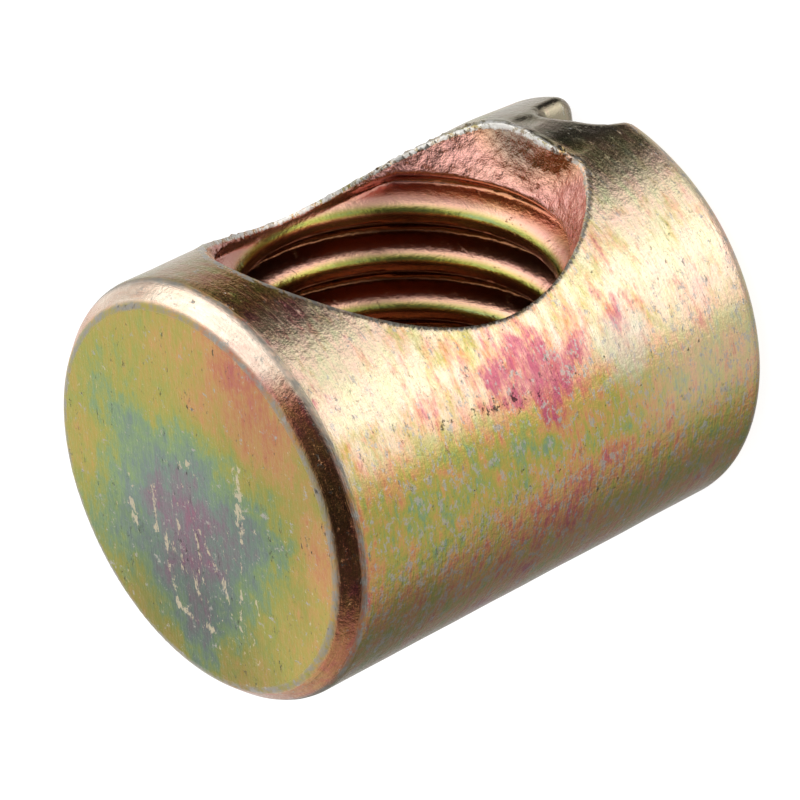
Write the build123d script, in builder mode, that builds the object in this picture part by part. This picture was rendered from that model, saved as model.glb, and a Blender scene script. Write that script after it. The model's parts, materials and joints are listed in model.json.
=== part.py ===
from build123d import *
import os
from math import radians, tan

# Barrel nut: a plain steel barrel with a blind threaded hole across it and a driver slot pressed into one end.
# It stands on its slotted end. +Z runs along the barrel to its plain end, with the origin on the
# axis at the slotted end. The hole's one mouth faces -Y, and the slot runs along Y. Sizes are in millimetres.

# The barrel
barrel_diameter = 12.0
barrel_length = 15.4
plain_bevel_height = 0.6
plain_bevel_width = 0.5
plain_bevel_blend = 0.3
slotted_edge_radius = 0.6

# The threaded hole, M10 coarse, kept as its plain tapping bore. It ends in the point that its drill left,
# inside the barrel's far wall.
bore_diameter = 8.5
bore_height = 7.8
bore_depth = 8.4
drill_point_angle = 118.0
mouth_diameter = 11.2
mouth_angle = 60.0

# The driver slot, pressed into the end with rounded lips
slot_width = 1.9
slot_depth = 1.6
slot_lip_radius = 0.45
slot_floor_radius = 0.4

# The wall between slot and hole, which the pressing has pushed flat into the mouth
pushed_wall = 1.1

barrel_radius = barrel_diameter / 2
bore_radius = bore_diameter / 2
mouth_radius = mouth_diameter / 2
mouth_depth = (mouth_radius - bore_radius) / tan(radians(mouth_angle / 2))
pushed_wall_height = slot_depth + pushed_wall
bore_end = bore_depth - barrel_radius
drill_point_depth = bore_radius / tan(radians(drill_point_angle / 2))

os.makedirs("parts", exist_ok=True)

# One tool for the bore, its mouth and its drill point, turned about the hole's own axis
with BuildPart() as hole_tool:
    with BuildSketch(Plane.YZ) as hole_half_section:
        with BuildLine():
            Polyline(
                (bore_end + drill_point_depth, bore_height),
                (bore_end, bore_height + bore_radius),
                (mouth_depth - barrel_radius, bore_height + bore_radius),
                (-barrel_radius, bore_height + mouth_radius),
                (-barrel_radius, bore_height),
                close=True,
            )
        make_face()
    revolve(axis=Axis((0, 0, bore_height), (0, 1, 0)))
    split(bisect_by=Plane.XY.offset(pushed_wall_height), keep=Keep.TOP)

with BuildPart() as barrel_nut:
    with BuildSketch(Plane.XZ) as barrel_half_section:
        with BuildLine():
            Polyline(
                (0, 0),
                (barrel_radius, 0),
                (barrel_radius, barrel_length - plain_bevel_height),
                (barrel_radius - plain_bevel_width, barrel_length),
                (0, barrel_length),
                close=True,
            )
        make_face()
        outer_corners = barrel_half_section.vertices().group_by(Axis.X)[1:]
        bevel_corners = [corner for group in outer_corners for corner in group if corner.Y > bore_height]
        fillet(bevel_corners, radius=plain_bevel_blend)
        slotted_corner = barrel_half_section.vertices().group_by(Axis.Y)[0].sort_by(Axis.X)[-1]
        fillet(slotted_corner, radius=slotted_edge_radius)
    revolve(axis=Axis.Z)

    # The slot's outline flares at its lips, so that they meet the end face in a smooth round
    with BuildSketch(Plane.XZ) as slot_section:
        with BuildLine() as slot_outline:
            lip = RadiusArc(
                (slot_width / 2 + slot_lip_radius, 0),
                (slot_width / 2, slot_lip_radius),
                slot_lip_radius,
            )
            wall = Line(lip @ 1, (slot_width / 2, slot_depth))
            Line(wall @ 1, (0, slot_depth))
            mirror(about=Plane.YZ)
            Line((-slot_width / 2 - slot_lip_radius, 0), lip @ 0)
        make_face()
        fillet(slot_section.vertices().group_by(Axis.Y)[-1], radius=slot_floor_radius)
    extrude(amount=barrel_radius, both=True, mode=Mode.SUBTRACT)

    add(hole_tool.part, mode=Mode.SUBTRACT)

barrel_nut.part.label = "barrel_nut"
export_step(barrel_nut.part, "parts/barrel_nut.step")
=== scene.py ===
import json

import bpy
import numpy as np
from mathutils import Matrix, Vector


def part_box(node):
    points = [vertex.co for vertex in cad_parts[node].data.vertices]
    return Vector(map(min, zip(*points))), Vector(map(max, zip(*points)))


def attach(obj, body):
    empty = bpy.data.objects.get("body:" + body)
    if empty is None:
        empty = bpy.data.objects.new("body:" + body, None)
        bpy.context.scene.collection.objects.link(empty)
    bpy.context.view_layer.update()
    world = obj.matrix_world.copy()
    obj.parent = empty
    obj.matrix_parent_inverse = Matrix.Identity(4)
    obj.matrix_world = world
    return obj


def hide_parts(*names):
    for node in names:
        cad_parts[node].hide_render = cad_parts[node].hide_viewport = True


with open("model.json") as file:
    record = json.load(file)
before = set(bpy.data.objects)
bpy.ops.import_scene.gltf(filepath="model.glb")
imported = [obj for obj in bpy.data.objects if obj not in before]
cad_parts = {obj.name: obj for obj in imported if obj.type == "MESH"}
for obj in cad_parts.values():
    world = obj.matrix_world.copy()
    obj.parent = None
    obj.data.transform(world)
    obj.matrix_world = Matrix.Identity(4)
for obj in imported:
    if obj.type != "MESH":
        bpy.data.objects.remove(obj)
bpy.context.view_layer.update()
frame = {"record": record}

MM = 0.001
NODE = "barrel_nut"
thread_mount = next(mount for mount in frame["record"]["mounts"] if mount["name"] == "cross_thread")

# Sizes in millimetres. The barrel and its bore come from the frame.
low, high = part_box(NODE)
RADIUS = high.x / MM
LENGTH = (high.z - low.z) / MM
BORE_RADIUS = thread_mount["dims"]["r_mm"]
BORE_HEIGHT = thread_mount["pos_m"][2] / MM
BORE_LENGTH = thread_mount["dims"]["length_mm"]

# The barrel's two ends
PLAIN_BEVEL_HEIGHT = 0.6
PLAIN_BEVEL_WIDTH = 0.5
PLAIN_BEVEL_BLEND = 0.14
PLAIN_FACE_BLEND = 0.05
SLOTTED_EDGE_RADIUS = 0.6

# The hole goes in at -Y, through a cone, and ends in a drill point
MOUTH_RADIUS = 5.6
MOUTH_SLOPE = np.tan(np.radians(60.0 / 2))
MOUTH_BLEND = 0.25
DRILL_POINT_SLOPE = np.tan(np.radians(118.0 / 2))
DRILL_POINT_BLEND = 0.1
BORE_END = BORE_LENGTH - RADIUS + (MOUTH_RADIUS - BORE_RADIUS) / MOUTH_SLOPE
HOLE_RIM_BLEND = 0.1
HOLE_REACH_OUTSIDE = 1.0
# The hole's field rises faster than a distance on the cone and the thread's flanks, and this evens that out
HOLE_FIELD_SCALE = np.cos(np.radians(35.0))

# The thread, M10 coarse: its crests stand at the tapping bore
THREAD_ROOT_RADIUS = 5.0
PITCH = 1.5
FLANK_SLOPE = np.tan(np.radians(60.0))
ROOT_FLAT = PITCH / 8
CREST_ROUND_TO_MOUTH = 0.4
THREAD_EDGE_ROUND = 0.08
CREST_AT_SLOT_SIDE = 3.125
THREAD_FADE_FROM_RIM = (0.1, 0.6)
THREAD_FADE_FROM_END = (0.6, 1.6)

# The driver slot, which is squeezed shallow and a little out of line where it leaves the barrel at -Y
SLOT_HALF_WIDTH = 0.95
SLOT_DEPTH = 1.6
SLOT_LIP_RADIUS = 0.45
SLOT_FLOOR_RADIUS = 0.4
SQUEEZE_FADE = (3.9, 5.7)
SQUEEZED_SLOT_X = (-1.0, -0.6, -0.2, 0.1, 0.4, 0.95)
SQUEEZED_SLOT_DEPTH = (0.8, 1.0, 1.2, 1.35, 1.45, 1.5)
SQUEEZED_SLOT_MIDDLE = 0.1
SQUEEZED_SLOT_WIDENING = 0.05

# The wall between slot and hole, pushed flat into the mouth, with a sag in its edge at the barrel's surface
PUSHED_WALL_DEPTH_IN = (0.0, 1.3, 1.8)
PUSHED_WALL_HEIGHT = (2.68, 2.95, 2.7)
PUSHED_WALL_BLEND = 0.15
SAG = 0.2
SAG_X = -0.6
SAG_FADE = (0.9, 0.2)

# Lumps and hollows on the side of the mouth: x, z, size and rise
LUMPS = [
    (3.30, 2.20, 1.30, 0.08),
    (0.78, 2.25, 0.32, -0.14),
    (-1.15, 2.35, 0.34, -0.16),
    (-1.17, 2.85, 0.20, 0.12),
]

# Roughness of the surface: features to the millimetre
ROUGH = 3
FINE = 7
WAVY = 0.8

# The burr round the hole's rim. It fades in as half the height less x goes from one number to the other.
RIM_RIDGE = 0.012
BURR_WIDTH = 0.1
BURR_RISE = 0.045
BURR_RAGGEDNESS = 0.06
BURR_FADE = (3.6, 1.6)

# Crinkles in the cone, with the distances where they fade in, and slow waves all over
CRINKLE = 0.035
FINE_CRINKLE = 0.02
CRINKLE_FADE_TO_MOUTH = (4.1, 4.6)
CRINKLE_FADE_FROM_SLOT = (2.3, 2.6)
CRINKLE_FADE_FROM_PLAIN_END = (LENGTH - 1.0, LENGTH - 1.2)
BARREL_FADE = (RADIUS - 0.12, RADIUS - 0.04)
WAVE_RISE = 0.008

# The mesh's grid: along each axis, the ends of its fine stretch, and its coarse and its fine spacing
GRID_MARGIN = 0.3
GRID_X = (-1.5, 1.5, 0.145, 0.125)
GRID_Y = (-4.4, 4.4, 0.14, 0.1)
GRID_Z = (0.0, 3.0, 0.145, 0.125)
ON_SURFACE = 0.02

# The camera, as fitted to the photograph
CAMERA_DISTANCE = 135.67
CAMERA_AZIMUTH = -54.546
CAMERA_ELEVATION = 34.694
CAMERA_ROLL = -116.29
CAMERA_LENS = 225.2
AIM_RIGHT = -0.32
AIM_UP = -0.173

# The floor, and how strongly it glows so that it stays pale
FLOOR_REACH = 2000.0
FLOOR_GLOW = 0.92


def smooth_max(a, b, reach):
    """The larger of two fields, blended where they lie within reach of each other."""
    h = np.maximum(reach - np.abs(a - b), 0.0) / reach
    return np.maximum(a, b) + h * h * reach / 4


def smooth_min(a, b, reach):
    return -smooth_max(-a, -b, reach)


def round_max(a, b, radius):
    """The overlap of two half spaces that stand square to each other, with its edge rounded."""
    outside = np.hypot(np.maximum(a + radius, 0.0), np.maximum(b + radius, 0.0))
    return np.minimum(np.maximum(a, b), -radius) + outside


def ease(value, start, end):
    """Goes smoothly from nothing at start to one at end."""
    share = np.clip((value - start) / (end - start), 0.0, 1.0)
    return share * share * (3 - 2 * share)


def noise(x, y, z, seed):
    """Smooth noise from -1 to 1 with features about one unit apart."""
    total = np.zeros_like(x)
    cells = [np.floor(axis).astype(np.int64) for axis in (x, y, z)]
    shares = [ease(axis - cell, 0.0, 1.0) for axis, cell in zip((x, y, z), cells)]
    for corner in range(8):
        steps = (corner & 1, corner >> 1 & 1, corner >> 2 & 1)
        weight = 1.0
        mix = np.full(x.shape, seed * 2654435761 + 97, np.int64)
        for cell, share, step, prime in zip(cells, shares, steps, (73856093, 19349663, 83492791)):
            weight = weight * (share if step else 1 - share)
            mix ^= (cell + step) * prime
        mix = (mix ^ (mix >> 13)) * 1274126177 & 0x7FFFFFFF
        mix = (mix ^ (mix >> 11)) * 668265263 & 0x7FFFFFFF
        total += weight * ((mix >> 7 & 0xFFFF) / 32767.5 - 1)
    return total


def thread_radius(y, turn):
    """The threaded wall's distance from the hole's axis, at y and at an angle from the slot's side."""
    depth_in = -y - CREST_AT_SLOT_SIDE + PITCH * turn / (2 * np.pi)
    past_crest = (depth_in / PITCH + 0.5) % 1.0 - 0.5
    from_root = PITCH / 2 - np.abs(past_crest) * PITCH
    flank = THREAD_ROOT_RADIUS - (from_root - ROOT_FLAT / 2) * FLANK_SLOPE
    wall = smooth_min(flank, np.full_like(flank, THREAD_ROOT_RADIUS), THREAD_EDGE_ROUND)
    edge = np.where(past_crest > 0, CREST_ROUND_TO_MOUTH, THREAD_EDGE_ROUND)
    return smooth_max(wall, np.full_like(flank, BORE_RADIUS), edge)


def pushed_wall_height(x, y):
    sag = SAG * np.exp(-((x - SAG_X) ** 2)) * ease(RADIUS + y, *SAG_FADE)
    return np.interp(RADIUS + y, PUSHED_WALL_DEPTH_IN, PUSHED_WALL_HEIGHT) + sag


def hole_field(x, y, z):
    """Below zero inside the hole: the thread, with a cone at its mouth and a drill point at its end."""
    across = np.hypot(x, z - BORE_HEIGHT)
    turn = np.arctan2(-x, BORE_HEIGHT - z)
    cone = MOUTH_RADIUS - (RADIUS + y) * MOUTH_SLOPE
    point = BORE_RADIUS + (BORE_END - y) * DRILL_POINT_SLOPE
    from_rim = np.sqrt(np.maximum(RADIUS**2 - x**2, 0.0)) + y
    fade = ease(from_rim, *THREAD_FADE_FROM_RIM) * ease(BORE_END - y, *THREAD_FADE_FROM_END)
    bore = BORE_RADIUS + (thread_radius(y, turn) - BORE_RADIUS) * fade
    wall = smooth_min(smooth_max(bore, cone, MOUTH_BLEND), point, DRILL_POINT_BLEND)
    hole = np.maximum((across - wall) * HOLE_FIELD_SCALE, -RADIUS - HOLE_REACH_OUTSIDE - y)
    return smooth_max(hole, pushed_wall_height(x, y) - z, PUSHED_WALL_BLEND)


def slot_field(x, y, z):
    """Below zero in the driver slot."""
    squeezed = ease(-y, *SQUEEZE_FADE)
    depth = SLOT_DEPTH + (np.interp(x, SQUEEZED_SLOT_X, SQUEEZED_SLOT_DEPTH) - SLOT_DEPTH) * squeezed
    half_width = SLOT_HALF_WIDTH + SQUEEZED_SLOT_WIDENING * squeezed
    off_middle = np.abs(x - SQUEEZED_SLOT_MIDDLE * squeezed)
    return round_max(off_middle - half_width, z - depth, SLOT_FLOOR_RADIUS)


def body_field(x, y, z):
    """Below zero in the metal."""
    out = np.hypot(x, y) - RADIUS
    past_bevel = z - LENGTH + PLAIN_BEVEL_HEIGHT
    bevel_length = np.hypot(PLAIN_BEVEL_HEIGHT, PLAIN_BEVEL_WIDTH)
    bevel = (out * PLAIN_BEVEL_HEIGHT + past_bevel * PLAIN_BEVEL_WIDTH) / bevel_length
    body = round_max(out, -z, SLOTTED_EDGE_RADIUS)
    body = smooth_max(body, z - LENGTH, PLAIN_FACE_BLEND)
    body = smooth_max(body, bevel, PLAIN_BEVEL_BLEND)
    body = round_max(body, -slot_field(x, y, z), SLOT_LIP_RADIUS)
    return smooth_max(body, -hole_field(x, y, z), HOLE_RIM_BLEND)


def detail(x, y, z):
    """How far the surface stands proud of the plain form."""
    rough = noise(x * ROUGH, y * ROUGH, z * ROUGH, 1)
    fine = noise(x * FINE, y * FINE, z * FINE, 2)
    on_barrel = ease(np.hypot(x, y), *BARREL_FADE)
    burr = (BURR_RISE + BURR_RAGGEDNESS * rough) * ease(z * 0.5 - x, *BURR_FADE)
    at_rim = np.exp(-(((hole_field(x, y, z) - BURR_WIDTH) / BURR_WIDTH) ** 2))
    ridge = at_rim * (RIM_RIDGE + burr) * on_barrel
    within_ends = ease(z, *CRINKLE_FADE_FROM_SLOT) * ease(z, *CRINKLE_FADE_FROM_PLAIN_END)
    in_cone = (1 - on_barrel) * ease(-y, *CRINKLE_FADE_TO_MOUTH) * within_ends
    crinkle = in_cone * (CRINKLE * rough + FINE_CRINKLE * fine)
    waves = WAVE_RISE * noise(x * WAVY, y * WAVY, z * WAVY, 3)
    lumps = 0.0
    for lump_x, lump_z, size, rise in LUMPS:
        lumps = lumps + rise * np.exp(-((x - lump_x) ** 2 + (z - lump_z) ** 2) / size**2) * (y < 0)
    return ridge + crinkle + waves + lumps * on_barrel


def full_field(points):
    """Below zero in the metal, with its burrs, lumps and waves."""
    x, y, z = points.T
    return body_field(x, y, z) - detail(x, y, z)


def barrel_wall(points):
    return np.hypot(points[:, 0], points[:, 1]) - RADIUS


def hole_wall(points):
    return hole_field(*points.T)


def grid_line(low_end, high_end, fine_low, fine_high, coarse, fine):
    """Grid positions from low_end to high_end, spaced finely between fine_low and fine_high."""
    before = np.linspace(low_end, fine_low, int(np.ceil((fine_low - low_end) / coarse)) + 1)
    inside = np.linspace(fine_low, fine_high, int(np.ceil((fine_high - fine_low) / fine)) + 1)
    after = np.linspace(fine_high, high_end, int(np.ceil((high_end - fine_high) / coarse)) + 1)
    return np.concatenate([before[:-1], inside, after[1:]])


def halves(rest, axis):
    """Two windows on a grid: each point but the last along an axis, and its next neighbour there."""
    first, second = [rest] * 3, [rest] * 3
    first[axis] = slice(0, -1)
    second[axis] = slice(1, None)
    return tuple(first), tuple(second)


def surface_net(field, lines):
    """A closed mesh of quads round the field's inside, with a vertex in each cell its surface crosses."""
    places = np.meshgrid(*lines, indexing="ij")
    values = field(*places)
    inside = values < 0
    cells = tuple(n - 1 for n in values.shape)
    total = np.zeros(cells + (3,))
    count = np.zeros(cells)
    for axis in range(3):
        first, second = halves(slice(None), axis)
        crossed = inside[first] != inside[second]
        span = values[first] - values[second]
        share = np.where(crossed, values[first] / np.where(crossed, span, 1.0), 0.0)
        others = [a for a in range(3) if a != axis]
        for shift in [(0, 0), (0, 1), (1, 0), (1, 1)]:
            window = [slice(None)] * 3
            for other, step in zip(others, shift):
                window[other] = slice(step, step + cells[other])
            window = tuple(window)
            hit = crossed[window]
            count += hit
            for k in range(3):
                start = places[k][first][window]
                end = places[k][second][window]
                total[..., k] += hit * (start + share[window] * (end - start))
    used = count > 0
    number = np.full(cells, -1, int)
    number[used] = np.arange(used.sum())
    quads = []
    for axis in range(3):
        others = [(axis + 1) % 3, (axis + 2) % 3]
        first, second = halves(slice(1, -1), axis)
        leaving = inside[first] & ~inside[second]
        entering = ~inside[first] & inside[second]
        corners = []
        for shift in [(0, 0), (1, 0), (1, 1), (0, 1)]:
            window = [slice(None)] * 3
            for other, step in zip(others, shift):
                window[other] = slice(step, step + leaving.shape[other])
            corners.append(number[tuple(window)])
        ring = np.stack(corners, -1)
        quads.append(ring[leaving])
        quads.append(ring[entering][:, ::-1])
    return total[used] / count[used][:, None], np.concatenate(quads)


def slope(field, points, step=0.01):
    """The field's gradient at the points."""
    parts = []
    for k in range(3):
        offset = np.zeros(3)
        offset[k] = step
        parts.append((field(points + offset) - field(points - offset)) / (2 * step))
    return np.stack(parts, -1)


def settle(field, points, rounds=4, reach=0.08, least_slope=0.2):
    """Moves points onto the field's surface, by no more than reach in each round."""
    for _ in range(rounds):
        grade = slope(field, points)
        steepness = np.maximum((grade**2).sum(1), least_slope)[:, None]
        move = -field(points)[:, None] * grade / steepness
        length = np.linalg.norm(move, axis=1)[:, None]
        points = points + move * np.minimum(1.0, reach / np.maximum(length, 1e-9))
    return points


def meet(first, second, points, reach=0.11, rounds=3):
    """Moves the points that lie close to both fields' surfaces onto the line where the two meet."""
    near = (np.abs(first(points)) < reach) & (np.abs(second(points)) < reach)
    moved = points[near]
    for _ in range(rounds):
        g1, g2 = slope(first, moved), slope(second, moved)
        a, b, c = (g1 * g1).sum(1), (g1 * g2).sum(1), (g2 * g2).sum(1)
        f1, f2 = first(moved), second(moved)
        spread = a * c - b * b
        share1 = (c * f1 - b * f2) / spread
        share2 = (a * f2 - b * f1) / spread
        moved = moved - share1[:, None] * g1 - share2[:, None] * g2
    points[near] = moved
    return points


def corner_normals(points, quads, step=0.02, inward_share=0.4):
    """The surface's direction at each quad's corners, taken a little inside the quad along the hole's rim."""
    normals = slope(full_field, points, step)[quads]
    on_rim = (np.abs(barrel_wall(points)) < ON_SURFACE) & (np.abs(hole_wall(points)) < ON_SURFACE)
    on_rim = on_rim[quads]
    corners = points[quads]
    inward = corners + inward_share * (corners.mean(1)[:, None] - corners)
    normals[on_rim] = slope(full_field, inward[on_rim], step)
    normals = normals.reshape(-1, 3)
    return normals / np.linalg.norm(normals, axis=1)[:, None]


def make_nut():
    side = RADIUS + GRID_MARGIN
    lines = (
        grid_line(-side, side, *GRID_X),
        grid_line(-side, side, *GRID_Y),
        grid_line(-GRID_MARGIN, LENGTH + GRID_MARGIN, *GRID_Z),
    )
    points, quads = surface_net(body_field, lines)
    points = settle(full_field, points)
    points = meet(barrel_wall, hole_wall, points)
    points = np.clip(points, np.array(low) / MM, np.array(high) / MM)
    mesh = bpy.data.meshes.new("barrel_nut_metal")
    mesh.from_pydata((points * MM).tolist(), [], quads.tolist())
    for face in mesh.polygons:
        face.use_smooth = True
    mesh.normals_split_custom_set(corner_normals(points, quads).tolist())
    nut = bpy.data.objects.new("barrel_nut_metal", mesh)
    bpy.context.scene.collection.objects.link(nut)
    return nut


class Shade:
    """A number that varies over a surface or the sky. Arithmetic on it adds the nodes that compute it."""

    def __init__(self, tree, socket):
        self.tree = tree
        self.socket = socket

    def math(self, operation, *others):
        node = self.tree.nodes.new("ShaderNodeMath")
        node.operation = operation
        for place, value in zip(node.inputs, (self,) + others):
            feed(self.tree, value, place)
        return Shade(self.tree, node.outputs["Value"])

    def __add__(self, other):
        return self.math("ADD", other)

    def __sub__(self, other):
        return self.math("SUBTRACT", other)

    def __mul__(self, other):
        return self.math("MULTIPLY", other)

    def rise(self, start, end, low=0.0, high=1.0):
        """Goes smoothly from low where the number is at start to high where it is at end."""
        node = self.tree.nodes.new("ShaderNodeMapRange")
        node.interpolation_type = "SMOOTHSTEP"
        feed(self.tree, self, node.inputs["Value"])
        if start > end:
            start, end, low, high = end, start, high, low
        for name, value in (("From Min", start), ("From Max", end), ("To Min", low), ("To Max", high)):
            node.inputs[name].default_value = value
        return Shade(self.tree, node.outputs["Result"])

    def flip(self):
        """One less the number."""
        return self.math("MULTIPLY_ADD", -1.0, 1.0)

    def within(self, least, most):
        return self.math("MAXIMUM", least).math("MINIMUM", most)


def feed(tree, value, place):
    """Links a shade or a socket to an input, or sets the input to a plain number."""
    if isinstance(value, Shade):
        tree.links.new(value.socket, place)
    elif isinstance(value, bpy.types.NodeSocket):
        tree.links.new(value, place)
    else:
        place.default_value = value


def vector_math(tree, operation, *values):
    node = tree.nodes.new("ShaderNodeVectorMath")
    node.operation = operation
    for place, value in zip(node.inputs, values):
        feed(tree, value, place)
    return node


def colour(red, green, blue):
    """A colour given in 8-bit display values, as the shader's linear colour."""
    linear = []
    for part in (red, green, blue):
        part /= 255
        linear.append(part / 12.92 if part <= 0.04045 else ((part + 0.055) / 1.055) ** 2.4)
    return (*linear, 1.0)


# The film's colours, from thin to thick
FILM_COLOURS = [
    (0.00, (184, 92, 112)),
    (0.09, (196, 110, 106)),
    (0.20, (206, 136, 98)),
    (0.31, (208, 160, 100)),
    (0.42, (186, 166, 86)),
    (0.52, (168, 168, 84)),
    (0.62, (140, 164, 116)),
    (0.74, (128, 146, 134)),
    (0.88, (142, 120, 130)),
    (1.00, (168, 100, 124)),
]

# Its thickness on that scale where nothing changes it, and how much each place and each noise changes it
PLAIN_FILM = 0.37
FACE_FILM = 0.06
HOLE_FILM = -0.17
BEVEL_FILM = 0.08
LEAST_FILM = 0.04
CLOUDS = 0.36
CLOUDS_LESS_ON_FACE = 0.2
BLOTCHES = 0.7
STREAKS_LESS_IN_HOLE = 0.7
STREAKS_WHERE_THIN = 0.7
FACE_SPECKLE = 0.5
BEVEL_THINNING = 0.6
SIDE_THINNING = 0.55

# Where a patch or a patch of painted shade starts and where it is full, in shares of its reach
PATCH_START = 1.5
PATCH_FULL = 0.2
PAINTED_SHADE_START = 1.3
PAINTED_SHADE_FULL = 0.3

# The metal's roughness where nothing changes it, and what each kind of place adds to it
PLAIN_ROUGHNESS = 0.21
LINE_ROUGHNESS = 0.25
WORN_ROUGHNESS = 0.12
BEVEL_EDGE_ROUGHNESS = 0.2

# How high the relief is in millimetres, and the share of it that each kind of feature has
BUMP_HEIGHT = 0.025
LINE_RELIEF = 0.6
GRAIN_RELIEF = 0.45
BUMP_RELIEF = 0.9
CRINKLE_RELIEF = 2.2
DENT_RELIEF = 0.8
CHIP_RELIEF = 0.6
CHIP_EDGE = (0.1, 0.3)

# The painted highlight, a pale sheen painted where the lamps' reflection falls: its two colours, how much of
# it there is and how much of it is green, how uneven both are, the thickness of film where it starts and is
# full, and the most that it covers
PINK_PAINTED_HIGHLIGHT = (255, 222, 206)
GREEN_PAINTED_HIGHLIGHT = (238, 238, 200)
PAINTED_HIGHLIGHT = 0.45
PAINTED_HIGHLIGHT_UNEVENNESS = 2.6
GREEN_SHARE = 0.4
GREEN_UNEVENNESS = 4.0
PAINTED_HIGHLIGHT_FILM = (-0.12, 0.32)
MOST_PAINTED_HIGHLIGHT = 0.7

# The bevel's painted highlight, on its side turned to the mouth: its lean from the mouth to +X, how nearly
# the wall faces it where it starts and is full, how bright and how streaked it is, and the most that it
# covers
PAINTED_BEVEL_HIGHLIGHT_LEAN = 0.06
PAINTED_BEVEL_HIGHLIGHT_SIDE = (0.62, 0.84)
PAINTED_BEVEL_HIGHLIGHT = 0.72
PAINTED_BEVEL_HIGHLIGHT_STREAKS = 2.0
MOST_PAINTED_BEVEL_HIGHLIGHT = 0.9

# Bare metal, and the pressed part's dullness with the most that there is of it anywhere
BARE_METAL = (180, 174, 164)
BARE_BURR = (226, 223, 217)
PRESSED_DULLNESS = 0.8
MOST_DULLNESS = 0.8

# How far the borders of patches wander
WANDER_REACH = 2.6

# The film varies most on the -X side: the x where that starts to fade and ends, and how much there is at each
FILM_VARIETY = (-4.0, 0.5, 1.0, 0.55)

# What covers the film: its colour, and how much of the film it covers where it is full
COVERS = {
    # Painted highlight on the bevel's side turned to the mouth
    "painted bevel highlight": ((250, 234, 214), 1.0),
    "cone": ((242, 188, 182), 0.6),
    "cone's ends": ((224, 182, 108), 0.55),
    # Pale pink on the crests: the film's pink with a painted highlight
    "thread crest pink and highlight": ((242, 200, 186), 0.5),
    # Painted shade in the thread's roots
    "painted root shade": ((132, 100, 72), 0.75),
    "dull": ((158, 152, 140), 1.0),
    "rubbed": ((206, 208, 188), 0.6),
    "worn bevel edge": ((164, 158, 148), 1.0),
    "scratch": ((212, 196, 166), 0.8),
    "dent": ((66, 58, 50), 0.8),
}

# Noise: features to the millimetre along x, y and z, the levels of detail and their roughness
NOISES = {
    "wander": ((0.9, 0.9, 0.9), 3.0, 0.6),
    "clouds": ((0.35, 0.35, 0.35), 2.0, 0.6),
    "blotches": ((1.1, 1.1, 1.5), 3.0, 0.7),
    "streaks": ((1.2, 1.2, 5.0), 5.0, 0.75),
    "speckle": ((4.0, 1.6, 4.0), 5.0, 0.75),
    "sheen": ((0.9, 0.9, 2.4), 4.0, 0.7),
    "sheen colour": ((0.6, 0.6, 1.4), 4.0, 0.75),
    "chips": ((2.2, 2.2, 5.0), 5.0, 0.8),
    "flecks": ((3.0, 3.0, 5.0), 5.0, 0.8),
    "marks": ((2.8, 0.7, 1.0), 5.0, 0.78),
    "ragged": ((5.0, 3.0, 1.0), 5.0, 0.8),
    "pits": ((7.0, 4.0, 6.0), 4.0, 0.75),
    "face pits": ((4.0, 0.8, 1.0), 5.0, 0.8),
    "dings": ((2.4, 2.4, 3.4), 4.0, 0.85),
    "barrel lines": ((0.7, 0.7, 14.0), 3.0, 0.7),
    "face lines": ((14.0, 0.8, 0.8), 3.0, 0.7),
    "bumps": ((3.2, 3.2, 3.2), 4.0, 0.7),
    "grain": ((7.0, 7.0, 9.0), 3.0, 0.7),
}

# Places on the metal: x, y, z, reach, and how far they shift the film's colour
FILM_PATCHES = [
    (-5.36, -2.69, 7.40, 1.4, -0.31),
    (-5.31, -2.79, 8.60, 1.3, -0.23),
    (-2.20, -5.60, 1.30, 1.2, 0.12),
    (-5.96, -0.69, 11.4, 1.5, 0.13),
    (-5.95, -0.79, 8.52, 1.2, 0.14),
    (-5.99, -0.30, 12.87, 1.2, 0.10),
    (-5.75, 1.73, 7.77, 1.3, -0.14),
    (-4.77, 3.64, 9.18, 1.4, -0.14),
    (-5.96, 0.70, 6.43, 1.0, -0.12),
    (-4.83, -3.57, 11.17, 1.1, -0.18),
    (-5.10, -3.10, 4.60, 0.9, -0.20),
    (-4.55, -3.91, 13.66, 1.2, 0.04),
    (-5.90, 1.11, 2.61, 1.2, 0.06),
    (-5.74, -1.76, 2.30, 1.2, 0.05),
    (-2.60, -5.10, 13.30, 0.9, -0.12),
    (-5.20, -3.00, 9.90, 0.8, -0.14),
    (-1.48, -5.81, 13.85, 1.3, -0.10),
    (-5.65, -2.00, 7.60, 1.0, -0.14),
    (-5.75, -1.60, 9.90, 1.2, -0.02),
    (-3.90, -4.50, 3.70, 1.0, -0.16),
    (-5.30, -2.80, 2.20, 1.0, -0.10),
    (0.50, 1.20, LENGTH, 3.0, 0.44),
    (-2.93, 0.23, LENGTH, 1.3, 0.22),
    (0.20, 4.30, LENGTH, 1.0, 0.22),
    (3.30, -1.81, LENGTH, 1.6, 0.12),
    (-3.35, -3.33, LENGTH, 1.6, -0.16),
    (-1.60, -3.60, LENGTH, 1.5, -0.10),
    (-4.92, -0.10, LENGTH, 1.3, -0.14),
    (-2.01, -5.17, LENGTH, 1.2, -0.20),
    (4.32, 2.25, LENGTH, 1.4, 0.14),
    (-1.14, 5.08, LENGTH, 1.2, -0.06),
]

# Patches of painted shade: x, y, z, reach, and the share of the light that they keep back
PAINTED_SHADE_PATCHES = [
    (-3.60, -2.40, LENGTH, 3.5, 0.18),
    (0.50, 5.20, LENGTH, 3.8, 0.36),
    (-0.30, 2.00, LENGTH, 2.4, 0.10),
    (3.80, 3.20, LENGTH, 2.6, 0.18),
    (-2.60, 1.00, LENGTH, 2.0, 0.12),
    (-5.40, 2.60, 13.2, 2.0, 0.15),
]

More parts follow.
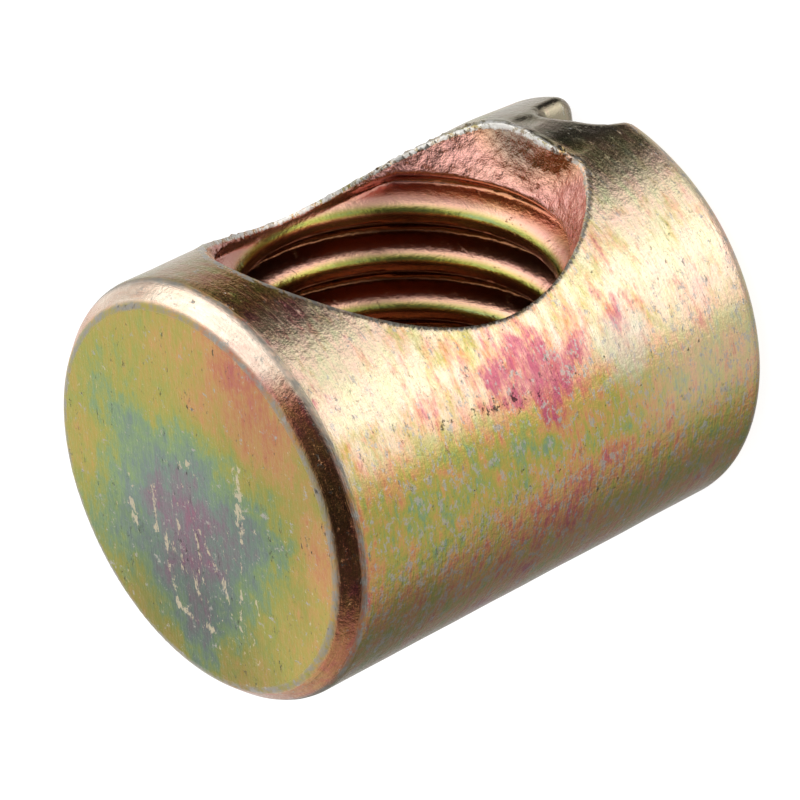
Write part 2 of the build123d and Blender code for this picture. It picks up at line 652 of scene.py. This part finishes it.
# Rows of small pits: x, y, z and reach
PITS = [
    (-5.49, -2.42, 11.64, 0.45),
    (-5.45, -2.50, 11.20, 0.35),
    (-5.50, -2.40, 10.20, 0.50),
    (-5.52, -2.35, 9.60, 0.50),
    (-5.56, -2.25, 8.90, 0.60),
    (-5.56, -2.25, 8.20, 0.45),
    (-5.83, 1.41, 5.60, 0.60),
    (-5.86, 1.25, 6.30, 0.50),
]

# What a place in such a row, the plain face and the dented side add to the noise of pits and dings, and the
# levels of it where they start and are full
PIT_RISE = 0.18
FACE_PIT_RISE = 0.04
DING_RISE = 0.035
PIT_LEVELS = (0.22, 0.33)
DING_LEVELS = (0.2, 0.25)

# Where the plain face is scratched: x and y of one end, x and y of the other, and the reach
SCRATCHES = [
    (-1.82, -1.59, -1.77, 0.30, 0.34),
    (-1.77, 0.60, -1.41, 3.40, 0.16),
    (1.78, 0.18, 1.81, 1.57, 0.22),
    (2.90, 1.10, 2.70, 1.60, 0.36),
    (-0.04, 1.01, -0.58, 1.90, 0.22),
    (1.44, 2.54, 1.14, 3.69, 0.24),
    (1.14, 3.69, -0.31, 3.95, 0.20),
    (0.60, -0.80, 0.10, -1.10, 0.20),
]
SCRATCH_RISE = 0.15
SCRATCH_LEVELS = (0.13, 0.19)

# The middle of the pale marks round them, the distances from it where they start and are thickest, and what
# that adds to their noise. Then the levels of that noise where a mark starts and is full.
MARKED_PLACE = ((-0.3, 2.2, LENGTH), 4.0, 1.5, -0.12, 0.03)
MARK_LEVELS = (0.14, 0.17)

# The part beside the slot that the press made smooth and grey, and one that is rubbed silvery: a place, and
# the distances from it where the part starts and is full
PRESSED_PLACE = ((0.5, -5.9, 1.3), 2.3, 1.5)
RUBBED_PLACE = ((-5.50, -2.40, 5.20), 1.3, 0.4)

# Where each zone of the metal starts and where it is full: along the barrel, from its axis, from the hole's
# axis, and towards the mouth from the barrel's middle
BEVEL_FOOT = LENGTH - PLAIN_BEVEL_HEIGHT
FACE_ZONE = (LENGTH - 0.12, LENGTH - 0.03)
BEVEL_ZONE = (BEVEL_FOOT - 0.05, BEVEL_FOOT + 0.05)
HOLE_ZONE_ABOVE_SLOT = (1.9, 2.3)
HOLE_ZONE_BELOW_PLAIN_END = (LENGTH - 0.9, LENGTH - 1.1)
WALL_ZONE = (RADIUS - 0.16, RADIUS - 0.06)
HOLE_ZONE = (5.9, 5.7)
THREAD_WALL_ZONE = (BORE_RADIUS - 0.35, BORE_RADIUS - 0.1)
CONE_ZONE = (3.7, 4.2)
THREAD_ZONE = (4.1, 3.8)
THREAD_ROOT_ZONE = (3.75, 3.3)
CRINKLED_ZONE = (4.0, 4.5)
CONE_FOOT_ZONE = (3.2, 2.6)
CONE_TOP_ZONE = (11.4, 12.2)

# Worn edges, in the same way: how far the wear reaches from each edge, and where on the edge it lies
BEVEL_WEAR = (0.12, 0.03)
BEVEL_WEAR_FROM_AXIS = (5.3, 5.4)
RIM_WEAR = (0.26, 0.05)
RIM_WEAR_FROM_AXIS = (RADIUS - 0.2, RADIUS - 0.08)
RIM_WEAR_TO_MOUTH = (3.0, 3.2)
RIM_WEAR_ABOVE_WALL = (-0.1, 0.1)
WALL_WEAR = (0.16, 0.06)
WALL_WEAR_FROM_AXIS = (RADIUS - 0.25, RADIUS - 0.1)
WALL_WEAR_TO_MOUTH = (4.6, 5.0)
WALL_WEAR_FROM_CONE = (0.2, 0.05)
SLOTTED_END_WEAR = (1.0, 0.4)
SLOTTED_END_WEAR_FROM_AXIS = (4.6, 5.0)

# How much each edge is worn, and the levels of the wear's noise where the film starts to go and is gone
BEVEL_WORN = 0.6
RIM_WORN = 0.24
BURR_WORN = 0.03
SLOTTED_END_WORN = 0.16
EDGE_WEAR_LEVELS = (0.16, 0.30)
CHIP_LEVELS = (0.13, 0.24)
CHIP_BARENESS = 0.55
FLECK_LEVELS = (0.11, 0.15)
FLECK_BARENESS = 0.8

# A thread crest's two sides in shares of the pitch, its green edge with what that adds to the film, and its
# pink part, which is partly the film's pink and partly a painted highlight
CREST_STARTS = (0.0, 0.1)
CREST_ENDS = (0.36, 0.22)
CREST_GREEN = (0.26, 0.1, 0.0, 0.36)
CREST_PINK_AND_HIGHLIGHT = (0.1, 0.22)

# Sides of the barrel: a direction in x and y, and how nearly the wall faces it where the side starts and
# where it is full
THIN_FILM_SIDE = (-0.72, -0.69, 0.84, 0.95)
# The side where the painted highlight lies
PAINTED_HIGHLIGHT_SIDE = (-0.72, -0.69, 0.88, 0.98)
DENTED_SIDE = (-0.96, -0.28, 0.7, 0.95)

# The same, then the heights where it starts and is full, and how strong the painted highlight is there
PAINTED_HIGHLIGHT_STRETCHES = [
    (-0.93, -0.36, 0.85, 0.97, 6.0, 2.5, 0.35),
    (-0.45, -0.89, 0.93, 0.99, 4.5, 2.5, 0.40),
    (-0.60, -0.80, 0.92, 0.97, 11.0, 13.0, 0.45),
]

# The same, and how dull or how flecked the side is
DULL_SIDES = [
    (-0.5, 0.866, 0.9, 0.99, 0.6),
    (0.42, -0.9, 0.86, 0.98, 0.5),
]
FLECKED_SIDES = [
    (-1.0, 0.0, 0.6, 0.95, 0.05),
    (-0.95, 0.3, 0.8, 1.0, 0.03),
]


class Metal:
    """The nut's material as it is put together: its zones, places in millimetres and the tint so far."""

    def __init__(self, tree):
        self.tree = tree
        scaled = vector_math(tree, "SCALE", tree.nodes.new("ShaderNodeTexCoord").outputs["Object"])
        scaled.inputs["Scale"].default_value = 1 / MM
        self.place = scaled.outputs["Vector"]
        split = tree.nodes.new("ShaderNodeSeparateXYZ")
        feed(tree, self.place, split.inputs[0])
        x, y, z = (Shade(tree, socket) for socket in split.outputs)
        self.x, self.y, self.z = x, y, z
        self.from_axis = (x * x + y * y).math("SQRT")
        self.above_hole = z - BORE_HEIGHT
        self.from_hole_axis = (x * x + self.above_hole * self.above_hole).math("SQRT")
        self.from_cone = self.from_hole_axis - MOUTH_RADIUS + (y + RADIUS) * MOUTH_SLOPE
        self.to_mouth = y * -1.0

        self.on_face = z.rise(*FACE_ZONE)
        self.off_face = self.on_face.flip()
        self.on_bevel = self.off_face * z.rise(*BEVEL_ZONE)
        self.on_barrel = self.from_axis.rise(*WALL_ZONE)
        within_ends = z.rise(*HOLE_ZONE_BELOW_PLAIN_END) * z.rise(*HOLE_ZONE_ABOVE_SLOT)
        self.in_hole = self.on_barrel.flip() * within_ends * self.from_hole_axis.rise(*HOLE_ZONE)
        self.off_hole = self.in_hole.flip()
        self.in_cone = self.in_hole * self.to_mouth.rise(*CONE_ZONE)
        self.pressed = self.near(*PRESSED_PLACE)

        wander = self.noise_node("wander").outputs["Color"]
        shift = vector_math(tree, "SUBTRACT", wander, (0.5, 0.5, 0.5)).outputs["Vector"]
        shift = vector_math(tree, "SCALE", shift)
        shift.inputs["Scale"].default_value = WANDER_REACH
        self.wandered = vector_math(tree, "ADD", self.place, shift.outputs["Vector"]).outputs["Vector"]

        self.variety = x.rise(*FILM_VARIETY)
        self.streaks = self.noise("streaks") * self.off_face * self.variety

        # Along the thread: nothing at a crest's middle, and one turn later one
        turn = (x * -1.0).math("ARCTAN2", self.above_hole * -1.0) * (PITCH / (2 * np.pi))
        self.along = ((y * -1.0 - CREST_AT_SLOT_SIDE + turn) * (1 / PITCH)).math("FRACT")
        crest = self.along.rise(*CREST_STARTS) * self.along.rise(*CREST_ENDS)
        on_wall = self.from_hole_axis.rise(*THREAD_WALL_ZONE)
        in_thread = self.in_hole * self.to_mouth.rise(*THREAD_ZONE) * on_wall
        self.thread_crest = in_thread * crest
        # Where the thread's roots get painted shade
        self.thread_root_shade = in_thread * crest.flip() * self.to_mouth.rise(*THREAD_ROOT_ZONE)

    def noise_node(self, name):
        stretch, detail, rough = NOISES[name]
        node = self.tree.nodes.new("ShaderNodeTexNoise")
        stretched = vector_math(self.tree, "MULTIPLY", self.place, stretch)
        feed(self.tree, stretched.outputs["Vector"], node.inputs["Vector"])
        node.inputs["Scale"].default_value = 1.0
        node.inputs["Detail"].default_value = detail
        node.inputs["Roughness"].default_value = rough
        return node

    def noise(self, name):
        """One of the named noises, from -0.5 to 0.5."""
        return Shade(self.tree, self.noise_node(name).outputs["Fac"]) - 0.5

    def near(self, spot, start, full, low=0.0, high=1.0, wandering=False):
        """Goes from low to high as the distance to a spot goes from start to full."""
        place = self.wandered if wandering else self.place
        away = vector_math(self.tree, "DISTANCE", place, spot).outputs["Value"]
        return Shade(self.tree, away).rise(start, full, low, high)

    def facing(self, sideways, forward, start, full):
        """How far the barrel's wall is turned to one side."""
        nearness = (self.x * sideways + self.y * forward) * (1 / RADIUS)
        return nearness.rise(start, full) * self.on_barrel

    def blend(self, share, under, over):
        mix = self.tree.nodes.new("ShaderNodeMix")
        mix.data_type = "RGBA"
        feed(self.tree, share, mix.inputs["Factor"])
        feed(self.tree, under, mix.inputs["A"])
        feed(self.tree, over, mix.inputs["B"])
        return mix.outputs["Result"]

    def grey_of(self, level):
        """One number as all three parts of a colour."""
        node = self.tree.nodes.new("ShaderNodeCombineXYZ")
        for part in node.inputs:
            feed(self.tree, level, part)
        return node.outputs["Vector"]

    def cover(self, share, name):
        """Lays one of the named covers over the tint so far."""
        over, full = COVERS[name]
        self.tint = self.blend(share * full, self.tint, colour(*over))


def lay_film(metal):
    """Gives the metal the colour of its film's thickness, and returns that thickness."""
    film = metal.noise("clouds") * (metal.on_face * -CLOUDS_LESS_ON_FACE + CLOUDS)
    film = film + PLAIN_FILM + metal.on_face * FACE_FILM
    on_plain_wall = (metal.on_face + metal.in_hole).flip()
    film = film + metal.noise("blotches") * on_plain_wall * metal.variety * BLOTCHES
    for *spot, reach, change in FILM_PATCHES:
        ends = (reach * PATCH_START, reach * PATCH_FULL)
        film = film + metal.near(spot, *ends, 0.0, change, wandering=True)
    film = film + metal.in_hole * HOLE_FILM
    film = film + metal.streaks * (metal.in_hole * -STREAKS_LESS_IN_HOLE + 1.0)
    film = film + metal.noise("speckle") * metal.on_face * FACE_SPECKLE
    film = film.math("MAXIMUM", metal.streaks * STREAKS_WHERE_THIN + LEAST_FILM)
    film = film * (metal.on_bevel * -BEVEL_THINNING + 1.0) + metal.on_bevel * BEVEL_FILM
    film = film.math("MINIMUM", metal.facing(*THIN_FILM_SIDE) * -SIDE_THINNING + 1.0)
    film = film + metal.thread_crest * metal.along.rise(*CREST_GREEN)

    ramp = metal.tree.nodes.new("ShaderNodeValToRGB")
    while len(ramp.color_ramp.elements) < len(FILM_COLOURS):
        ramp.color_ramp.elements.new(0.5)
    for element, (thickness, tint) in zip(ramp.color_ramp.elements, FILM_COLOURS):
        element.position = thickness
        element.color = colour(*tint)
    feed(metal.tree, film, ramp.inputs["Fac"])
    metal.tint = ramp.outputs["Color"]
    return film


def paint_highlights(metal, film):
    """Paints highlights: a pale sheen on the side turned to the mouth, strongest where the film is thin, and
    on the bevel above it.
    """
    # Painted highlight on the barrel's side turned to the mouth
    sheen = metal.facing(*PAINTED_HIGHLIGHT_SIDE) * (metal.noise("sheen") * PAINTED_HIGHLIGHT_UNEVENNESS + PAINTED_HIGHLIGHT)
    for *side, start, full, share in PAINTED_HIGHLIGHT_STRETCHES:
        sheen = sheen + metal.facing(*side) * metal.z.rise(start, full) * share
    sheen = (sheen * film.rise(*PAINTED_HIGHLIGHT_FILM)).within(0.0, MOST_PAINTED_HIGHLIGHT)
    greenness = metal.noise("sheen colour") * GREEN_UNEVENNESS + GREEN_SHARE
    painted_highlight_colour = metal.blend(greenness, colour(*PINK_PAINTED_HIGHLIGHT), colour(*GREEN_PAINTED_HIGHLIGHT))
    metal.tint = metal.blend(sheen, metal.tint, painted_highlight_colour)
    # Painted highlight on the bevel
    turned_to_mouth = (metal.to_mouth + metal.x * PAINTED_BEVEL_HIGHLIGHT_LEAN) * (1 / RADIUS)
    painted_bevel_highlight = turned_to_mouth.rise(*PAINTED_BEVEL_HIGHLIGHT_SIDE) * metal.on_bevel
    painted_bevel_highlight = painted_bevel_highlight * (metal.streaks * PAINTED_BEVEL_HIGHLIGHT_STREAKS + PAINTED_BEVEL_HIGHLIGHT)
    metal.cover(painted_bevel_highlight.within(0.0, MOST_PAINTED_BEVEL_HIGHLIGHT), "painted bevel highlight")


def tint_hole(metal):
    """The cone is pink, and golden towards the barrel's ends. The thread's crests are pale pink, partly the
    film's pink and partly a painted highlight.
    """
    metal.cover(metal.in_cone, "cone")
    towards_ends = metal.z.rise(*CONE_FOOT_ZONE) + metal.z.rise(*CONE_TOP_ZONE)
    metal.cover(metal.in_cone * towards_ends, "cone's ends")
    metal.cover(metal.thread_crest * metal.along.rise(*CREST_PINK_AND_HIGHLIGHT), "thread crest pink and highlight")


def dull_film_and_paint_shade(metal):
    """The film is grey where it was pressed or rubbed and along two sides, and darkened in patches by painted
    shade.
    """
    dull = metal.pressed * PRESSED_DULLNESS
    for *side, share in DULL_SIDES:
        dull = dull + metal.facing(*side) * share
    metal.cover(dull.math("MINIMUM", MOST_DULLNESS), "dull")
    metal.cover(metal.near(*RUBBED_PLACE, wandering=True), "rubbed")
    # Painted shade: the tint is darkened in patches
    kept = 1.0
    for *spot, reach, share in PAINTED_SHADE_PATCHES:
        ends = (reach * PAINTED_SHADE_START, reach * PAINTED_SHADE_FULL)
        kept = metal.near(spot, *ends, 1.0, 1.0 - share, wandering=True) * kept
    darkened = vector_math(metal.tree, "MULTIPLY", metal.tint, metal.grey_of(kept))
    metal.tint = darkened.outputs["Vector"]


def wear_through(metal):
    """Bare metal where the film is worn. Returns the chips, and how worn the edges of hole and bevel are."""
    x, z, to_mouth, from_axis = metal.x, metal.z, metal.to_mouth, metal.from_axis
    chips = metal.noise("chips")
    flecks = metal.noise("flecks")

    from_bevel = (z - (LENGTH - PLAIN_BEVEL_HEIGHT / 2)).math("ABSOLUTE") - PLAIN_BEVEL_HEIGHT / 2
    bevel_edges = from_bevel.math("ABSOLUTE").rise(*BEVEL_WEAR) * from_axis.rise(*BEVEL_WEAR_FROM_AXIS)
    metal.cover((bevel_edges * (chips * 5.0 + BEVEL_WORN)).within(0.0, 1.0), "worn bevel edge")

    from_sag = x - SAG_X
    above_wall = z - ((from_sag * from_sag * -1.0).math("EXPONENT") * SAG + PUSHED_WALL_HEIGHT[0])
    wall_edge = above_wall.math("ABSOLUTE").rise(*WALL_WEAR) * from_axis.rise(*WALL_WEAR_FROM_AXIS)
    wall_edge = wall_edge * to_mouth.rise(*WALL_WEAR_TO_MOUTH) * metal.from_cone.rise(*WALL_WEAR_FROM_CONE)
    rim = metal.from_cone.math("ABSOLUTE").rise(*RIM_WEAR) * from_axis.rise(*RIM_WEAR_FROM_AXIS)
    rim = rim * to_mouth.rise(*RIM_WEAR_TO_MOUTH) * above_wall.rise(*RIM_WEAR_ABOVE_WALL)
    rim = rim.math("MAXIMUM", wall_edge)
    burred = (z * 0.5 - x).rise(*BURR_FADE)
    slotted_edge = z.rise(*SLOTTED_END_WEAR) * from_axis.rise(*SLOTTED_END_WEAR_FROM_AXIS)
    edges = slotted_edge * SLOTTED_END_WORN + rim * (burred * BURR_WORN + RIM_WORN)
    worn_edges = (edges + chips + flecks * 0.3).rise(*EDGE_WEAR_LEVELS)

    flecked = flecks + chips * 0.4
    for *side, share in FLECKED_SIDES:
        flecked = flecked + metal.facing(*side) * share
    worn_wall = chips.rise(*CHIP_LEVELS) * CHIP_BARENESS + flecked.rise(*FLECK_LEVELS) * FLECK_BARENESS
    worn = (worn_edges + worn_wall * metal.off_hole).math("MINIMUM", 1.0)
    bare = metal.blend(rim * burred, colour(*BARE_METAL), colour(*BARE_BURR))
    metal.tint = metal.blend(worn, metal.tint, bare)
    return chips, worn_edges, bevel_edges


def scratch_face(metal):
    """Pale marks around the middle of the plain face, and broken scratches across it."""
    tree = metal.tree
    marks = metal.noise("marks") + metal.near(*MARKED_PLACE)
    ragged = metal.noise("ragged")
    for start_x, start_y, end_x, end_y, reach in SCRATCHES:
        span = Vector((end_x - start_x, end_y - start_y, 0.0))
        from_start = vector_math(tree, "SUBTRACT", metal.place, (start_x, start_y, LENGTH)).outputs["Vector"]
        along = vector_math(tree, "DOT_PRODUCT", from_start, span / span.length_squared).outputs["Value"]
        share = Shade(tree, along).within(0.0, 1.0)
        foot = vector_math(tree, "MULTIPLY", span, metal.grey_of(share)).outputs["Vector"]
        away = Shade(tree, vector_math(tree, "DISTANCE", from_start, foot).outputs["Value"])
        ragged = ragged + away.rise(reach, 0.0, 0.0, SCRATCH_RISE)
    scratched = marks.rise(*MARK_LEVELS).math("MAXIMUM", ragged.rise(*SCRATCH_LEVELS))
    metal.cover(scratched * metal.on_face, "scratch")


def dent(metal):
    """Dark pits and dings. Returns where they are."""
    pits = metal.noise("pits")
    for *spot, reach in PITS:
        pits = pits + metal.near(spot, reach, reach * PATCH_FULL, 0.0, PIT_RISE)
    pits = pits + (metal.noise("face pits") + FACE_PIT_RISE) * metal.on_face
    dings = metal.noise("dings") + metal.facing(*DENTED_SIDE) * DING_RISE
    dents = dings.rise(*DING_LEVELS) + pits.rise(*PIT_LEVELS)
    metal.cover(dents.math("MINIMUM", 1.0) * metal.off_hole, "dent")
    return dents


def add_relief(metal, shader, chips, dents):
    """Bumps the surface with brush lines, grain, chips and dents. Returns the brush lines."""
    lines = metal.noise("barrel lines") * metal.off_face * metal.off_hole * metal.pressed.flip()
    lines = lines + metal.noise("face lines") * metal.on_face
    crinkled = metal.in_hole * metal.to_mouth.rise(*CRINKLED_ZONE)
    height = lines * LINE_RELIEF + metal.noise("grain") * metal.off_hole * GRAIN_RELIEF
    height = height + metal.noise("bumps") * (crinkled * CRINKLE_RELIEF + BUMP_RELIEF)
    height = height - dents * DENT_RELIEF + chips.rise(*CHIP_EDGE) * CHIP_RELIEF
    bump = metal.tree.nodes.new("ShaderNodeBump")
    bump.inputs["Distance"].default_value = BUMP_HEIGHT * MM
    feed(metal.tree, height, bump.inputs["Height"])
    feed(metal.tree, bump.outputs["Normal"], shader.inputs["Normal"])
    return lines


def make_metal():
    """Steel with a thin yellow film over it, whose thickness gives its colour, worn through on edges, with
    painted highlights and painted shade.
    """
    material = bpy.data.materials.new("yellow_zinc")
    material.use_nodes = True
    shader = material.node_tree.nodes["Principled BSDF"]
    shader.inputs["Metallic"].default_value = 1.0
    metal = Metal(material.node_tree)
    film = lay_film(metal)
    # Painted highlights on the barrel and the bevel
    paint_highlights(metal, film)
    tint_hole(metal)
    dull_film_and_paint_shade(metal)
    chips, worn_edges, bevel_edges = wear_through(metal)
    scratch_face(metal)
    dents = dent(metal)
    # Painted shade in the thread's roots
    metal.cover(metal.thread_root_shade, "painted root shade")
    lines = add_relief(metal, shader, chips, dents)
    feed(metal.tree, metal.tint, shader.inputs["Base Color"])
    roughness = lines * LINE_ROUGHNESS + PLAIN_ROUGHNESS
    roughness = roughness + worn_edges * WORN_ROUGHNESS + bevel_edges * BEVEL_EDGE_ROUGHNESS
    feed(metal.tree, roughness, shader.inputs["Roughness"])
    return material


def make_camera():
    """Places the camera, and returns the rotation from its own directions to the world's."""
    azimuth = np.radians(CAMERA_AZIMUTH)
    elevation = np.radians(CAMERA_ELEVATION)
    level = np.cos(elevation)
    back = Vector((level * np.sin(azimuth), -level * np.cos(azimuth), np.sin(elevation)))
    flat_right = (-back).cross(Vector((0, 0, 1))).normalized()
    roll = Matrix.Rotation(np.radians(CAMERA_ROLL), 3, back)
    right = roll @ flat_right
    up = roll @ back.cross(flat_right)
    rotation = Matrix((right, up, back)).transposed()
    middle = Vector((0, 0, LENGTH / 2))
    spot = middle + back * CAMERA_DISTANCE + right * AIM_RIGHT + up * AIM_UP
    data = bpy.data.cameras.new("camera")
    data.lens = CAMERA_LENS
    data.clip_start = 0.01
    camera = bpy.data.objects.new("camera", data)
    camera.matrix_world = Matrix.Translation(spot * MM) @ rotation.to_4x4()
    bpy.context.scene.collection.objects.link(camera)
    bpy.context.scene.camera = camera
    return rotation


def make_floor():
    """A large pale floor that glows, so that it stays even, and that the metal doesn't mirror."""
    mesh = bpy.data.meshes.new("floor")
    corners = [(-1, -1), (1, -1), (1, 1), (-1, 1)]
    side = FLOOR_REACH * MM
    mesh.from_pydata([(x * side, y * side, 0) for x, y in corners], [], [(0, 1, 2, 3)])
    floor = bpy.data.objects.new("floor", mesh)
    bpy.context.scene.collection.objects.link(floor)
    material = bpy.data.materials.new("floor_white")
    material.use_nodes = True
    shader = material.node_tree.nodes["Principled BSDF"]
    shader.inputs["Base Color"].default_value = (0.3, 0.3, 0.3, 1)
    shader.inputs["Roughness"].default_value = 0.9
    shader.inputs["Emission Color"].default_value = (1, 1, 1, 1)
    shader.inputs["Emission Strength"].default_value = FLOOR_GLOW
    mesh.materials.append(material)
    floor.visible_glossy = False
    floor.visible_diffuse = False
    floor.visible_shadow = False


# Studio lights, as seen from the camera: right, up, towards it, the angle at full strength, the angle
# where it ends, and its strength. The screens are dark, and take that share of the light away.
SKY_LEVEL = 0.5
SKY_LIGHTS = [
    (0.62, 0.70, 0.28, 21, 27, 0.8),
    (0.90, 0.28, 0.33, 16, 25, 0.72),
    (0.84, -0.10, 0.54, 20, 60, 0.34),
    (-0.50, 0.30, 0.80, 15, 45, 0.9),
    (-0.76, 0.64, 0.10, 14, 30, 1.15),
    (0.72, -0.50, -0.48, 14, 34, 0.2),
    (-0.84, -0.41, -0.35, 25, 70, 0.45),
    (0.0, 0.0, -1.0, 15, 55, 0.45),
]
SKY_SCREENS = [
    (0.10, 0.96, -0.22, 16, 28, 0.92),
    (0.34, 0.93, 0.00, 8, 15, 0.86),
    (-0.10, -0.15, 0.98, 22, 42, 0.9),
    (0.08, -0.80, 0.58, 22, 42, 0.9),
    (0.42, -0.49, -0.76, 12, 40, 0.7),
]


def make_world(rotation):
    """The studio's light, fixed in the world as it stands round the photograph's view."""
    world = bpy.data.worlds.new("studio")
    world.use_nodes = True
    tree = world.node_tree
    bpy.context.scene.world = world
    sky = tree.nodes.new("ShaderNodeTexCoord").outputs["Generated"]

    def facing(right, up, towards, full, edge, away, at):
        """Goes from away to at where the sky comes near to one direction."""
        direction = (rotation @ Vector((right, up, towards))).normalized()
        nearness = Shade(tree, vector_math(tree, "DOT_PRODUCT", sky, direction).outputs["Value"])
        return nearness.rise(np.cos(np.radians(edge)), np.cos(np.radians(full)), away, at)

    light = SKY_LEVEL
    for *place, strength in SKY_LIGHTS:
        light = facing(*place, 0.0, strength) + light
    for *place, share in SKY_SCREENS:
        light = light * facing(*place, 1.0, 1.0 - share)
    feed(tree, light, tree.nodes["Background"].inputs["Strength"])
    tree.nodes["Background"].inputs["Color"].default_value = (1, 1, 1, 1)


nut = make_nut()
nut.data.materials.append(make_metal())
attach(nut, "root")
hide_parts(NODE)

rotation = make_camera()
make_floor()
make_world(rotation)
bpy.context.scene.view_settings.view_transform = "Standard"
